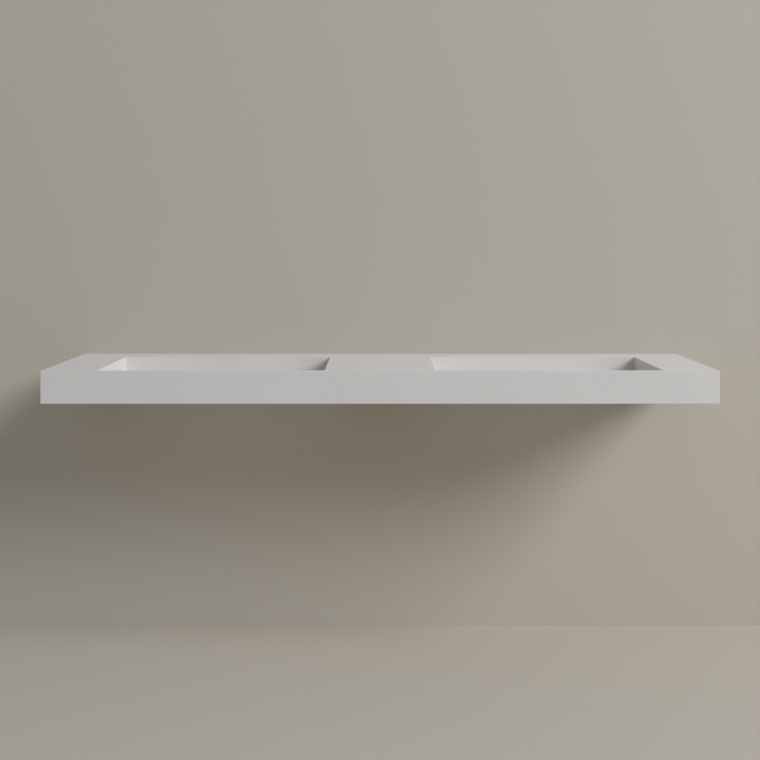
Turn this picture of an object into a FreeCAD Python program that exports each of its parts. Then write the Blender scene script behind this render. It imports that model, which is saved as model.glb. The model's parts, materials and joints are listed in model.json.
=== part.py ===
# Wall-hung double sink vanity top, bonded up from solid-surface sheet, hung on hidden
# steel brackets and fitted with two push drains. Millimetres.
# X runs to the right, +Y into the wall and +Z up. The origin lies in the wall plane, on
# the centre line of the top, at the height of the bolts that hold the brackets.

import FreeCAD
import Part
import math
import os

from FreeCAD import Vector

# The top
top_width = 1828.8
top_depth = 482.6
top_height = 88.9
sheet = 12.7
edge_ease = 1.0
rim_ease = 0.8

# The sinks
end_margin = 150.0
centre_land = 300.0
back_ledge = 100.0
basin_depth = 56.0
floor_sheet = 19.05
floor_fall = 6.0
drain_back_margin = 90.0
drain_flat_margin = 11.0

# The bearers and the brackets under the deck
bearer_thickness = 18.0
bearer_gap = 2.0
bracket_recess = 4.2
centre_bracket_pitch = 150.0
plate_width = 110.0
plate_thickness = 6.0
plate_corner = 6.0
wall_bolt_spacing = 76.0
wall_bolt_hole_radius = 5.0
notch_gap = 2.0
arm_width = 50.0
arm_thickness = 6.0
arm_front_gap = 70.0
arm_corner = 8.0
web_thickness = 6.0
web_tip_height = 14.0
web_tip_setback = 10.0
web_foot_gap = 3.0

# The screws that hold the bearers to the brackets
screw_radius = 3.0
screw_length = 20.0
screw_head_width = 10.0
screw_head_height = 4.0
screw_chamfer = 0.75
screw_offset = 16.0
rear_screw_reach = 130.0
front_screw_margin = 40.0
screw_hole_gap = 0.5
washer_radius = 6.0
washer_thickness = 1.6
insert_wall = 1.4
insert_length = 12.0
insert_hole_spare = 2.0
thread_gap = 0.05

# The drains
flange_radius = 33.0
flange_thickness = 2.5
flange_round = 1.0
flange_gasket_thickness = 2.0
flange_recess_gap = 1.0
seat_radius = 22.0
seat_drop = 4.0
barrel_radius = 19.0
barrel_wall = 2.5
barrel_thread_depth = 0.7
floor_hole_gap = 3.5
drain_gasket_height = 8.0
drain_gasket_lip = 6.0
drain_gasket_nose = 4.0
drain_gasket_taper = 2.0
slip_washer_thickness = 1.5
slip_washer_lip = 8.0
lock_nut_width = 52.0
lock_nut_height = 9.5
lock_nut_chamfer = 2.0
barrel_spare = 10.0
outlet_radius = 15.875
outlet_wall = 1.6
outlet_length = 16.8
drain_fit_gap = 0.1

# The click mechanism and the plug of a drain
plug_travel = 8.0
stop_gap = 0.3
cap_radius = 31.0
cap_edge = 2.5
cap_crown = 2.0
cap_wall = 2.4
cap_round = 0.8
hub_radius = 6.0
hub_length = 8.0
hub_roof = 1.5
seal_inner_radius = 16.8
seal_outer_radius = 19.5
stem_radius = 3.0
collar_thickness = 3.0
rotor_height = 3.0
tail_radius = 2.0
tail_spare = 1.0
track_count = 4
track_width = 3.2
track_depth = 1.3
tooth_slope = 0.49
cartridge_radius = 8.5
cartridge_wall = 2.0
guide_spigot = 2.0
spigot_radius = 5.0
spider_thickness = 5.0
spider_boss_radius = 9.0
spider_rib_width = 3.0
spider_rib_count = 3
spring_wire_radius = 0.45
spring_turns = 5.5
spring_seat_gap = 0.1

# Places that follow from the sizes
plate_height = top_height - sheet - bearer_thickness - bracket_recess
arm_top = plate_height / 2
bearer_top = arm_top + bearer_thickness
deck_top = bearer_top + sheet
apron_foot = deck_top - top_height
half_width = top_width / 2
front_face = -top_depth
front_inside = front_face + sheet
side_inside = half_width - sheet

# Cutting forms reach one sheet past the outer faces
past_side = half_width + sheet
past_front = front_face - sheet
past_top = deck_top + sheet
past_foot = apron_foot - sheet

basin_width = (top_width - 2 * end_margin - centre_land) / 2
basin_front = front_inside
basin_back = -back_ledge
basin_centres = {"left": -(centre_land + basin_width) / 2, "right": (centre_land + basin_width) / 2}
floor_edge = deck_top - basin_depth
drain_level = floor_edge - floor_fall
floor_under = floor_edge - floor_sheet
drain_y = basin_back - drain_back_margin

end_zone_middle = (side_inside + half_width - end_margin + sheet) / 2
bracket_places = {
    "left_end": -end_zone_middle,
    "left_centre": -centre_bracket_pitch / 2,
    "right_centre": centre_bracket_pitch / 2,
    "right_end": end_zone_middle,
}
arm_length = top_depth - sheet - arm_front_gap
screw_rows = (-rear_screw_reach, -(arm_length - front_screw_margin))

barrel_bore = barrel_radius - barrel_wall
flange_foot = drain_level - flange_thickness
recess_floor = flange_foot - flange_gasket_thickness
recess_radius = flange_radius + flange_recess_gap
floor_hole_radius = barrel_radius + floor_hole_gap
gasket_foot = floor_under - drain_gasket_height
slip_washer_foot = gasket_foot - slip_washer_thickness
lock_nut_foot = slip_washer_foot - lock_nut_height
barrel_foot = lock_nut_foot - barrel_spare
outlet_top = barrel_foot - (barrel_radius - outlet_radius)
outlet_foot = outlet_top - outlet_length

cartridge_bore = cartridge_radius - cartridge_wall
track_radius = cartridge_bore - track_depth
collar_radius = track_radius - stop_gap
lug_radius = cartridge_bore - stop_gap
lug_width = track_width - 2 * stop_gap
spring_radius = track_radius - stop_gap - spring_wire_radius

# The teeth of the latch stand at every track and midway between two tracks. A push goes on past
# the place where the plug is held, until the lugs of the rotor clear the teeth of the ribs.
tooth_count = 2 * track_count
half_tooth = math.tan(math.pi / tooth_count)
crown_width = 2 * collar_radius * half_tooth
crown_depth = tooth_slope * crown_width / 2
hold_width = 2 * cartridge_bore * half_tooth
hold_depth = tooth_slope * hold_width / 2
press_over = hold_depth + stop_gap

cap_foot = drain_level + stop_gap + press_over + plug_travel
hub_foot = cap_foot - hub_length
cartridge_top = hub_foot - plug_travel - press_over - stop_gap
spider_foot = barrel_foot
cartridge_seat = spider_foot + spider_thickness
spring_foot = cartridge_seat + cartridge_wall
housing_top = cartridge_top - cartridge_wall
rib_top = housing_top - guide_spigot
collar_top = rib_top - stop_gap
collar_foot = collar_top - collar_thickness
crown_ridge = collar_foot + crown_depth
rotor_ridge = crown_ridge - drain_fit_gap
rotor_foot = collar_foot - drain_fit_gap - rotor_height
tail_foot = rotor_foot - tail_spare
hold_ridge = rotor_ridge - plug_travel + drain_fit_gap
rib_foot = hold_ridge - hold_depth


def box(x_range, y_range, z_range):
    """A block between two places along each axis."""
    (x0, x1), (y0, y1), (z0, z1) = x_range, y_range, z_range
    return Part.makeBox(x1 - x0, y1 - y0, z1 - z0, Vector(x0, y0, z0))


def outline(points):
    """A closed wire through points."""
    return Part.makePolygon(list(points) + [points[0]])


def lines(points):
    """Straight edges from each point to the next."""
    return [Part.makeLine(a, b) for a, b in zip(points, points[1:])]


def turned(profile, x, y):
    """A profile of (radius, height) points turned about the upright axis through x, y."""
    face = Part.Face(outline([Vector(x + radius, y, height) for radius, height in profile]))
    return face.revolve(Vector(x, y, 0), Vector(0, 0, 1), 360)


def ring(x, y, inner, outer, foot, top):
    """A plain washer shape."""
    return turned([(inner, foot), (outer, foot), (outer, top), (inner, top)], x, y)


def hexagon(x, y, width, foot, top, chamfer):
    """A hexagon bar of a width across flats, its corners turned off at both ends."""
    corner = width / math.sqrt(3)
    angles = [math.radians(60 * i) for i in range(6)]
    points = [Vector(x + corner * math.cos(a), y + corner * math.sin(a), foot) for a in angles]
    bar = Part.Face(outline(points)).extrude(Vector(0, 0, top - foot))
    inset = corner - chamfer
    drop = chamfer / 2
    side = [(inset, foot), (corner, foot + drop), (corner, top - drop), (inset, top)]
    return bar.common(turned([(0, foot), *side, (0, top)], x, y))


def mitred_panel(outer_corners, inner_corners):
    """A sheet whose edges are cut back from its outer face to its inner face."""
    faces = [Part.Face(outline(outer_corners)), Part.Face(outline(inner_corners))]
    for i in range(4):
        j = (i + 1) % 4
        side = [outer_corners[i], outer_corners[j], inner_corners[j], inner_corners[i]]
        faces.append(Part.Face(outline(side)))
    return Part.makeSolid(Part.makeShell(faces))


def level_corners(x_range, y_range, z):
    """The corners of a level rectangle."""
    (x0, x1), (y0, y1) = x_range, y_range
    return [Vector(x0, y0, z), Vector(x1, y0, z), Vector(x1, y1, z), Vector(x0, y1, z)]


def front_corners(x_range, y, z_range):
    """The corners of an upright rectangle that faces the front."""
    (x0, x1), (z0, z1) = x_range, z_range
    return [Vector(x0, y, z0), Vector(x1, y, z0), Vector(x1, y, z1), Vector(x0, y, z1)]


def end_corners(x, y_range, z_range):
    """The corners of an upright rectangle that faces an end."""
    (y0, y1), (z0, z1) = y_range, z_range
    return [Vector(x, y0, z0), Vector(x, y1, z0), Vector(x, y1, z1), Vector(x, y0, z1)]


def eased_block():
    """The outer form of the top, with every edge eased that doesn't lie against the wall."""
    block = box((-half_width, half_width), (front_face, 0), (apron_foot, deck_top))
    free_edges = [e for e in block.Edges if min(v.Point.y for v in e.Vertexes) < -top_depth / 2]
    return block.makeFillet(edge_ease, free_edges)


def basin_span(side):
    """The left and right inner faces of a sink."""
    centre = basin_centres[side]
    return centre - basin_width / 2, centre + basin_width / 2


def deck_panel():
    """The deck, mitred to the aprons, with both sink openings cut and their rims eased."""
    blank = mitred_panel(
        level_corners((-past_side, past_side), (past_front, sheet), past_top),
        level_corners((-side_inside, side_inside), (front_inside, sheet), bearer_top),
    )
    deck = eased_block().common(blank)
    for side in basin_centres:
        deck = deck.cut(box(basin_span(side), (basin_front, basin_back), (bearer_top - sheet, past_top)))
    rims = [e for e in deck.Edges if is_rim(e)]
    return deck.makeFillet(rim_ease, rims)


def is_rim(edge):
    """True for an upper edge of a sink opening."""
    reach = edge.BoundBox
    if reach.ZMin < deck_top - rim_ease / 2:
        return False
    inside_front = reach.YMin > basin_front - rim_ease / 2
    inside_back = reach.YMax < basin_back + rim_ease / 2
    return inside_front and inside_back


def front_apron():
    """The front sheet, mitred at its top and both ends."""
    blank = mitred_panel(
        front_corners((-past_side, past_side), past_front, (past_foot, past_top)),
        front_corners((-side_inside, side_inside), front_inside, (past_foot, bearer_top)),
    )
    return eased_block().common(blank)


def end_apron(sign):
    """The sheet at one end, mitred at its top and front."""
    blank = mitred_panel(
        end_corners(sign * past_side, (past_front, sheet), (past_foot, past_top)),
        end_corners(sign * side_inside, (front_inside, sheet), (past_foot, bearer_top)),
    )
    return eased_block().common(blank)


def rear_rail():
    """The rail along the wall, notched from below so that the top drops over its brackets."""
    rail = box((-side_inside, side_inside), (-sheet, 0), (apron_foot, bearer_top))
    reach = plate_width / 2 + notch_gap
    for place in bracket_places.values():
        span = (place - reach, place + reach)
        notch = box(span, (-2 * sheet, sheet), (apron_foot - top_height, arm_top + notch_gap))
        corners = [e for e in notch.Edges if e.BoundBox.YLength > sheet and e.BoundBox.ZMin > apron_foot]
        rail = rail.cut(notch.makeFillet(plate_corner + notch_gap, corners))
    return rail


def basin_walls(side):
    """The back, left and right walls of a sink, standing on its floor and meeting the deck."""
    left, right = basin_span(side)
    height = (floor_edge, bearer_top)
    length = (basin_front, basin_back)
    return {
        "back_wall": box((left - sheet, right + sheet), (basin_back, basin_back + sheet), height),
        "left_wall": box((left - sheet, left), length, height),
        "right_wall": box((right, right + sheet), length, height),
    }


def basin_floor(side):
    """The floor of a sink: four planes fall to a level square, recessed and bored for the drain."""
    left, right = basin_span(side)
    centre = basin_centres[side]
    flat = recess_radius + drain_flat_margin
    span = (left - sheet, right + sheet)
    slab = box(span, (basin_front, basin_back + sheet), (floor_under, floor_edge))
    falls = mitred_panel(
        level_corners((left, right), (basin_front, basin_back), floor_edge),
        level_corners((centre - flat, centre + flat), (drain_y - flat, drain_y + flat), drain_level),
    )
    recess = Part.makeCylinder(recess_radius, floor_sheet, Vector(centre, drain_y, recess_floor))
    hole_start = Vector(centre, drain_y, floor_under - floor_sheet)
    hole = Part.makeCylinder(floor_hole_radius, 2 * floor_sheet, hole_start)
    return slab.cut(falls).cut(recess).cut(hole)


def screw_points(place):
    """Where the four screws of a bracket stand."""
    return [(place + sign * screw_offset, y) for y in screw_rows for sign in (-1, 1)]


def all_screw_points():
    """Where every bracket screw stands."""
    return [point for place in bracket_places.values() for point in screw_points(place)]


def bearer(x_range):
    """A plywood bearer under the deck, bored from below for the inserts that lie in it."""
    length = (front_inside + bearer_gap, -sheet - bearer_gap)
    slab = box(x_range, length, (arm_top, bearer_top))
    radius = screw_radius + thread_gap + insert_wall + thread_gap
    for x, y in all_screw_points():
        if x_range[0] < x < x_range[1]:
            depth = insert_length + insert_hole_spare
            slab = slab.cut(Part.makeCylinder(radius, depth, Vector(x, y, arm_top)))
    return slab


def bearers():
    """The bearers in the two ends and in the centre."""
    outer = side_inside - bearer_gap
    inner = half_width - end_margin + sheet + bearer_gap
    middle = centre_land / 2 - sheet - bearer_gap
    return {
        "left_bearer": bearer((-outer, -inner)),
        "centre_bearer": bearer((-middle, middle)),
        "right_bearer": bearer((inner, outer)),
    }


def wall_plate(place):
    """The plate of a bracket, with round corners and two holes for wall bolts."""
    span = (place - plate_width / 2, place + plate_width / 2)
    plate = box(span, (-plate_thickness, 0), (-plate_height / 2, arm_top))
    corners = [e for e in plate.Edges if e.BoundBox.YLength > plate_thickness / 2]
    plate = plate.makeFillet(plate_corner, corners)
    for sign in (-1, 1):
        start = Vector(place + sign * wall_bolt_spacing / 2, -2 * plate_thickness, 0)
        plate = plate.cut(
            Part.makeCylinder(wall_bolt_hole_radius, 3 * plate_thickness, start, Vector(0, 1, 0))
        )
    return plate


def bracket_arm(place):
    """The flat arm of a bracket, with a rounded tip and four holes for the screws."""
    under = arm_top - arm_thickness
    span = (place - arm_width / 2, place + arm_width / 2)
    arm = box(span, (-arm_length, -plate_thickness), (under, arm_top))
    upright = [e for e in arm.Edges if e.BoundBox.ZLength > arm_thickness / 2]
    arm = arm.makeFillet(arm_corner, [e for e in upright if e.BoundBox.YMax < -arm_length / 2])
    radius = screw_radius + screw_hole_gap
    for x, y in screw_points(place):
        arm = arm.cut(Part.makeCylinder(radius, 3 * arm_thickness, Vector(x, y, under - arm_thickness)))
    return arm


def bracket(place):
    """A welded bracket: a wall plate, an arm under the bearer and a tapered web that stiffens them."""
    under = arm_top - arm_thickness
    tip = -arm_length + web_tip_setback
    web_points = [
        (-plate_thickness, under),
        (tip, under),
        (tip, under - web_tip_height),
        (-plate_thickness, -plate_height / 2 + web_foot_gap),
    ]
    side = Part.Face(outline([Vector(place - web_thickness / 2, y, z) for y, z in web_points]))
    web = side.extrude(Vector(web_thickness, 0, 0))
    return wall_plate(place).fuse([bracket_arm(place), web]).removeSplitter()


def bracket_screws():
    """Hexagon screws driven up through the arms into the inserts."""
    head_top = arm_top - arm_thickness - washer_thickness
    head_foot = head_top - screw_head_height
    tip = head_top + screw_length
    tip_radius = screw_radius - screw_chamfer
    side = [(screw_radius, head_top), (screw_radius, tip - screw_chamfer), (tip_radius, tip)]
    screws = []
    for x, y in all_screw_points():
        head = hexagon(x, y, screw_head_width, head_foot, head_top, screw_chamfer)
        shank = turned([(0, head_top), *side, (0, tip)], x, y)
        screws.append(head.fuse(shank).removeSplitter())
    return Part.makeCompound(screws)


def bracket_washers():
    """A washer under the head of each bracket screw."""
    top = arm_top - arm_thickness
    inner = screw_radius + screw_hole_gap / 2
    return Part.makeCompound(
        [ring(x, y, inner, washer_radius, top - washer_thickness, top) for x, y in all_screw_points()]
    )


def bearer_inserts():
    """A threaded brass sleeve in the bearer for each bracket screw."""
    inner = screw_radius + thread_gap
    outer = inner + insert_wall
    return Part.makeCompound(
        [ring(x, y, inner, outer, arm_top, arm_top + insert_length) for x, y in all_screw_points()]
    )


def drain_body(x):
    """A flanged barrel with a conical seat, a spider for the cartridge and a stub outlet."""
    outlet_bore = outlet_radius - outlet_wall
    shoulder = barrel_bore - outlet_bore
    body = turned(
        [
            (barrel_bore, drain_level - seat_drop),
            (seat_radius, drain_level),
            (flange_radius - flange_round, drain_level),
            (flange_radius, drain_level - flange_round),
            (flange_radius, flange_foot),
            (barrel_radius, flange_foot),
            (barrel_radius, barrel_foot),
            (outlet_radius, outlet_top),
            (outlet_radius, outlet_foot),
            (outlet_bore, outlet_foot),
            (outlet_bore, outlet_top - shoulder / 2),
            (barrel_bore, barrel_foot - shoulder / 2),
        ],
        x,
        drain_y,
    )
    boss = ring(x, drain_y, spigot_radius + drain_fit_gap, spider_boss_radius, spider_foot, cartridge_seat)
    reach = barrel_radius - barrel_wall / 2
    start = (spigot_radius + spider_boss_radius) / 2
    pieces = [boss]
    for i in range(spider_rib_count):
        rib = box(
            (x + start, x + reach),
            (drain_y - spider_rib_width / 2, drain_y + spider_rib_width / 2),
            (spider_foot, cartridge_seat),
        )
        rib.rotate(Vector(x, drain_y, 0), Vector(0, 0, 1), 360 * i / spider_rib_count)
        pieces.append(rib)
    return body.fuse(pieces).removeSplitter()


def drain_seals(x):
    """The gasket under the flange, and what clamps the drain from below the floor.

    The barrel is the root of its thread: the nut runs on it, and the rings slide over the crests."""
    inner = barrel_radius + barrel_thread_depth + drain_fit_gap
    hole = floor_hole_radius - drain_fit_gap
    outer = floor_hole_radius + drain_gasket_lip
    gasket = turned(
        [
            (inner, gasket_foot),
            (outer - drain_gasket_taper, gasket_foot),
            (outer, floor_under),
            (hole, floor_under),
            (hole - drain_gasket_taper / 2, floor_under + drain_gasket_nose),
            (inner, floor_under + drain_gasket_nose),
        ],
        x,
        drain_y,
    )
    nut = hexagon(x, drain_y, lock_nut_width, lock_nut_foot, slip_washer_foot, lock_nut_chamfer)
    nut_bore_start = Vector(x, drain_y, lock_nut_foot - lock_nut_height / 2)
    nut_bore = Part.makeCylinder(barrel_radius + drain_fit_gap, 2 * lock_nut_height, nut_bore_start)
    flange_gasket_edge = flange_radius - flange_round
    washer_edge = inner + slip_washer_lip
    return {
        "flange_gasket": ring(x, drain_y, floor_hole_radius, flange_gasket_edge, recess_floor, flange_foot),
        "drain_gasket": gasket,
        "slip_washer": ring(x, drain_y, inner, washer_edge, slip_washer_foot, gasket_foot),
        "lock_nut": nut.cut(nut_bore),
    }


def spokes(x, count, reach, section):
    """Bars of a section of (across, height) points, spread evenly round the axis of a drain."""
    face = Part.Face(outline([Vector(x, drain_y + across, height) for across, height in section]))
    bars = []
    for i in range(count):
        bar = face.extrude(Vector(reach, 0, 0))
        bar.rotate(Vector(x, drain_y, 0), Vector(0, 0, 1), 360 * i / count)
        bars.append(bar)
    return bars


def flat_bar(width, foot, top):
    """The section of a bar with a flat top."""
    return [(-width / 2, foot), (width / 2, foot), (width / 2, top), (-width / 2, top)]


def roofed_bar(width, foot, ridge):
    """The section of a bar whose top slopes down to both sides of a ridge, as the teeth do."""
    eave = ridge - tooth_slope * width / 2
    return [(-width / 2, foot), (width / 2, foot), (width / 2, eave), (0, ridge), (-width / 2, eave)]


def track_ribs(x):
    """Ribs in the bore of the cartridge, with tracks between them.

    After every second push the lugs of the rotor are held in the teeth at the feet of the ribs."""
    ribs = ring(x, drain_y, track_radius, cartridge_radius - cartridge_wall / 2, rib_foot, rib_top)
    tracks = spokes(x, track_count, cartridge_radius, flat_bar(track_width, spring_foot, housing_top))
    teeth = spokes(x, tooth_count, cartridge_radius, roofed_bar(hold_width, spring_foot, hold_ridge))
    return ribs.cut(tracks + teeth)


def cartridge_housing(x):
    """The cup of the click mechanism, ribbed inside, with a spigot that stands in the spider."""
    cup = turned(
        [
            (0, spider_foot),
            (spigot_radius, spider_foot),
            (spigot_radius, cartridge_seat),
            (cartridge_radius, cartridge_seat),
            (cartridge_radius, housing_top),
            (cartridge_bore, housing_top),
            (cartridge_bore, spring_foot),
            (0, spring_foot),
        ],
        x,
        drain_y,
    )
    return cup.fuse(track_ribs(x)).removeSplitter()


def cartridge_guide(x):
    """The lid of the cartridge, which guides the stem and stops its collar."""
    bore = stem_radius + drain_fit_gap
    spigot = cartridge_bore - drain_fit_gap
    return turned(
        [
            (bore, housing_top - guide_spigot),
            (spigot, housing_top - guide_spigot),
            (spigot, housing_top),
            (cartridge_radius, housing_top),
            (cartridge_radius, cartridge_top),
            (bore, cartridge_top),
        ],
        x,
        drain_y,
    )


def plug_stem(x):
    """The rod from the cap into the cartridge, with a collar and a tail that the rotor turns on.

    The lugs of the collar run in the tracks, and its toothed underside turns the rotor."""
    rod_top = cap_foot + cap_edge + cap_crown - hub_roof - drain_fit_gap
    rod = turned(
        [
            (0, tail_foot),
            (tail_radius, tail_foot),
            (tail_radius, crown_ridge),
            (stem_radius, crown_ridge),
            (stem_radius, rod_top),
            (0, rod_top),
        ],
        x,
        drain_y,
    )
    collar = ring(x, drain_y, tail_radius / 2, collar_radius, collar_foot, collar_top)
    crown = spokes(x, tooth_count, cartridge_radius, roofed_bar(crown_width, rotor_foot, crown_ridge))
    lug_space = ring(x, drain_y, tail_radius, lug_radius, crown_ridge, collar_top)
    lugs = spokes(x, track_count, cartridge_radius, flat_bar(lug_width, crown_ridge, collar_top))
    return rod.fuse([collar.cut(crown)] + [lug.common(lug_space) for lug in lugs]).removeSplitter()


def latch_rotor(x):
    """The ring that the collar turns by one tooth at each push, with lugs that run in the tracks."""
    bore = tail_radius + drain_fit_gap
    core = ring(x, drain_y, bore, collar_radius, rotor_foot, rotor_ridge)
    lug_space = ring(x, drain_y, bore, lug_radius, rotor_foot, rotor_ridge)
    teeth = spokes(x, tooth_count, cartridge_radius, roofed_bar(crown_width, rotor_foot, rotor_ridge))
    lugs = spokes(x, track_count, cartridge_radius, roofed_bar(lug_width, rotor_foot, rotor_ridge))
    pieces = [tooth.common(core) for tooth in teeth] + [lug.common(lug_space) for lug in lugs]
    return pieces[0].fuse(pieces[1:]).removeSplitter()


def plug_cap(x):
    """A crowned disc, hollow below, whose hub takes the stem."""
    crown = cap_foot + cap_edge + cap_crown
    dome_radius = (cap_radius**2 + cap_crown**2) / (2 * cap_crown)
    dome_centre = crown - dome_radius
    hollow = seal_inner_radius - cap_wall
    bore = stem_radius + drain_fit_gap

    def at(r, height):
        return Vector(x + r, drain_y, height)

    def dome(r, depth):
        return at(r, dome_centre + math.sqrt((dome_radius - depth) ** 2 - r**2))

    def dome_arc(start, end, depth):
        return Part.Arc(dome(start, depth), dome((start + end) / 2, depth), dome(end, depth)).toShape()

    skirt = [dome(cap_radius, 0), at(cap_radius, cap_foot), at(hollow, cap_foot), dome(hollow, cap_wall)]
    hub = [dome(hub_radius, cap_wall), at(hub_radius, hub_foot), at(bore, hub_foot)]
    roof = [at(bore, hub_foot), at(bore, crown - hub_roof), at(0, crown - hub_roof), dome(0, 0)]
    edges = [dome_arc(0, cap_radius, 0), *lines(skirt), dome_arc(hollow, hub_radius, cap_wall)]
    face = Part.Face(Part.Wire(edges + lines(hub) + lines(roof)))
    cap = face.revolve(Vector(x, drain_y, 0), Vector(0, 0, 1), 360)
    outer_edges = [e for e in cap.Edges if e.BoundBox.XLength > 2 * seal_outer_radius]
    return cap.makeFillet(cap_round, [e for e in outer_edges if e.BoundBox.ZMin > cap_foot + cap_edge / 2])


def plug_seal(x):
    """The rubber ring under the cap that meets the conical seat when the plug is down."""
    seat_slope = seat_drop / (seat_radius - barrel_bore)
    depth = press_over + seat_slope * (seat_radius - seal_outer_radius)
    return ring(x, drain_y, seal_inner_radius, seal_outer_radius, cap_foot - depth, cap_foot)


def arc_from(start, tangent, end):
    """The arc that leaves start along tangent and reaches end."""
    chord = end - start
    along = tangent.dot(chord) / chord.Length
    across = tangent - chord * (along / chord.Length)
    bulge = chord.Length / 2 * math.tan(math.acos(min(1, along)) / 2)
    middle = (start + end) * 0.5 + across.normalize() * bulge
    return Part.Arc(start, middle, end).toShape()


def biarc(start, start_tangent, end, end_tangent):
    """Two arcs that join two points, each with its own direction there."""
    span = end - start
    both = start_tangent + end_tangent
    turn = 2 * (1 - start_tangent.dot(end_tangent))
    reach = (math.sqrt(span.dot(both) ** 2 + turn * span.dot(span)) - span.dot(both)) / turn
    joint = (start + start_tangent * reach + end - end_tangent * reach) * 0.5
    direction = (end - end_tangent * reach - start - start_tangent * reach).normalize()
    return [arc_from(start, start_tangent, joint), arc_from(joint, direction, end)]


def least_gap(points, skip):
    """The least distance between points that lie more than skip places apart on one line."""
    pairs = ((p, q) for i, p in enumerate(points) for q in points[i + skip :])
    return min(p.distanceToPoint(q) for p, q in pairs)


def return_spring(x):
    """A coil spring between the floor of the cartridge and the rotor."""
    foot = spring_foot + spring_seat_gap + spring_wire_radius
    rise = rotor_foot - spring_seat_gap - spring_wire_radius - foot
    full_angle = 2 * math.pi * spring_turns

    def point(t):
        angle = full_angle * t
        across = Vector(math.cos(angle), math.sin(angle), 0) * spring_radius
        return Vector(x, drain_y, foot + rise * t) + across

    def tangent(t):
        angle = full_angle * t
        return Vector(-math.sin(angle), math.cos(angle), rise / (full_angle * spring_radius)).normalize()

    quarters = round(4 * spring_turns)
    edges = []
    for i in range(quarters):
        a, b = i / quarters, (i + 1) / quarters
        edges += biarc(point(a), tangent(a), point(b), tangent(b))
    start_ring = Part.Wire(Part.makeCircle(spring_wire_radius, point(0), tangent(0)))
    spring = Part.Wire(edges).makePipeShell([start_ring], True, False)
    samples_per_turn = 24
    sample_count = round(samples_per_turn * spring_turns)
    samples = [point(i / sample_count) for i in range(sample_count + 1)]
    gap = least_gap(samples, samples_per_turn // 2) - 2 * spring_wire_radius
    print(f"return spring: least gap between turns {gap:.2f} mm")
    return spring


def build():
    """Every piece of the top by its name."""
    pieces = {
        "deck_panel": deck_panel(),
        "front_apron": front_apron(),
        "left_apron": end_apron(-1),
        "right_apron": end_apron(1),
        "rear_rail": rear_rail(),
        "bracket_screws": bracket_screws(),
        "bracket_washers": bracket_washers(),
        "bearer_inserts": bearer_inserts(),
    }
    pieces.update(bearers())
    for name, place in bracket_places.items():
        pieces[f"{name}_bracket"] = bracket(place)
    for side, x in basin_centres.items():
        for name, wall in basin_walls(side).items():
            pieces[f"{side}_basin_{name}"] = wall
        pieces[f"{side}_basin_floor"] = basin_floor(side)
        pieces[f"{side}_drain_body"] = drain_body(x)
        for name, seal in drain_seals(x).items():
            pieces[f"{side}_{name}"] = seal
        pieces[f"{side}_click_cartridge"] = cartridge_housing(x)
        pieces[f"{side}_cartridge_guide"] = cartridge_guide(x)
        pieces[f"{side}_return_spring"] = return_spring(x)
        pieces[f"{side}_latch_rotor"] = latch_rotor(x)
        pieces[f"{side}_plug_stem"] = plug_stem(x)
        pieces[f"{side}_plug_cap"] = plug_cap(x)
        pieces[f"{side}_plug_seal"] = plug_seal(x)
    return pieces


def main():
    os.makedirs("parts", exist_ok=True)
    for name, shape in build().items():
        solids = shape.Solids
        sound = all(solid.isValid() and solid.isClosed() and solid.Volume > 0 for solid in solids)
        state = "sound" if solids and sound else "NOT SOUND"
        print(f"{name}: {len(solids)} solids, {shape.Volume / 1000:.1f} cm3, {state}")
        shape.exportStep(f"parts/{name}.step")


main()
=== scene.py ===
# %% [markdown]
# # A wall-hung vanity top with two sinks
# The real object is a shell of solid-surface sheet: a deck with two rectangular sinks let
# into it, folded down at the front and both ends by mitred aprons. Steel brackets carry it, and
# a push drain with a click latch closes each sink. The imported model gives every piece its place.
# This file gives every piece its finish, adds what gluing, welding and turning leave behind, and
# lights it all.

# %% Load the frame
import json
import math

import bpy
import numpy as np
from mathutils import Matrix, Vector


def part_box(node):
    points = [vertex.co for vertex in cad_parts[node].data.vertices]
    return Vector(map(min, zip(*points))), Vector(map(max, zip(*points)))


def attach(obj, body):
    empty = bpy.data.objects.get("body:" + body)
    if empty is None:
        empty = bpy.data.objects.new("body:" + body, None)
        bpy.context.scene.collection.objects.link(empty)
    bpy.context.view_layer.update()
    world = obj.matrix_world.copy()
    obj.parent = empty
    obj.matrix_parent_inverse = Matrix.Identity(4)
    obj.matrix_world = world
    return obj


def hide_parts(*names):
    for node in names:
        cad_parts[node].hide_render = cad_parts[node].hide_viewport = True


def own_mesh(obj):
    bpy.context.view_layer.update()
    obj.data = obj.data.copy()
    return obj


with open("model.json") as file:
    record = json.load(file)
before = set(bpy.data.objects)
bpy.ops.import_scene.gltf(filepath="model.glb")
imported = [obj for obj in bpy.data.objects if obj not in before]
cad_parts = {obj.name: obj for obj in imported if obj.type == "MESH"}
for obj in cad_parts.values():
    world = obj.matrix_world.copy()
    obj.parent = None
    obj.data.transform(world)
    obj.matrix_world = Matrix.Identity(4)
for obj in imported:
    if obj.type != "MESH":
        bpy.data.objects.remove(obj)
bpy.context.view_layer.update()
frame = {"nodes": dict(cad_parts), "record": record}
scene = bpy.context.scene
nodes = frame["nodes"]

# %% [markdown]
# ## The measures that the scene needs
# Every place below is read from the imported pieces, so nothing has to be fitted by eye. Up is
# +Z, the wall is the plane where Y is zero, and the front of the top looks along -Y.

# %% Measures of the top
deck_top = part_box("deck_panel")[1].z
deck_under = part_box("deck_panel")[0].z
front_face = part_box("front_apron")[0].y
front_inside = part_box("front_apron")[1].y
side_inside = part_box("right_apron")[0].x
rail_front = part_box("rear_rail")[0].y
apron_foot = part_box("front_apron")[0].z
bearer_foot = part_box("centre_bearer")[0].z
print(f"deck {deck_top:.4f} m, front {front_face:.4f} m, apron foot {apron_foot:.4f} m")

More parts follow.
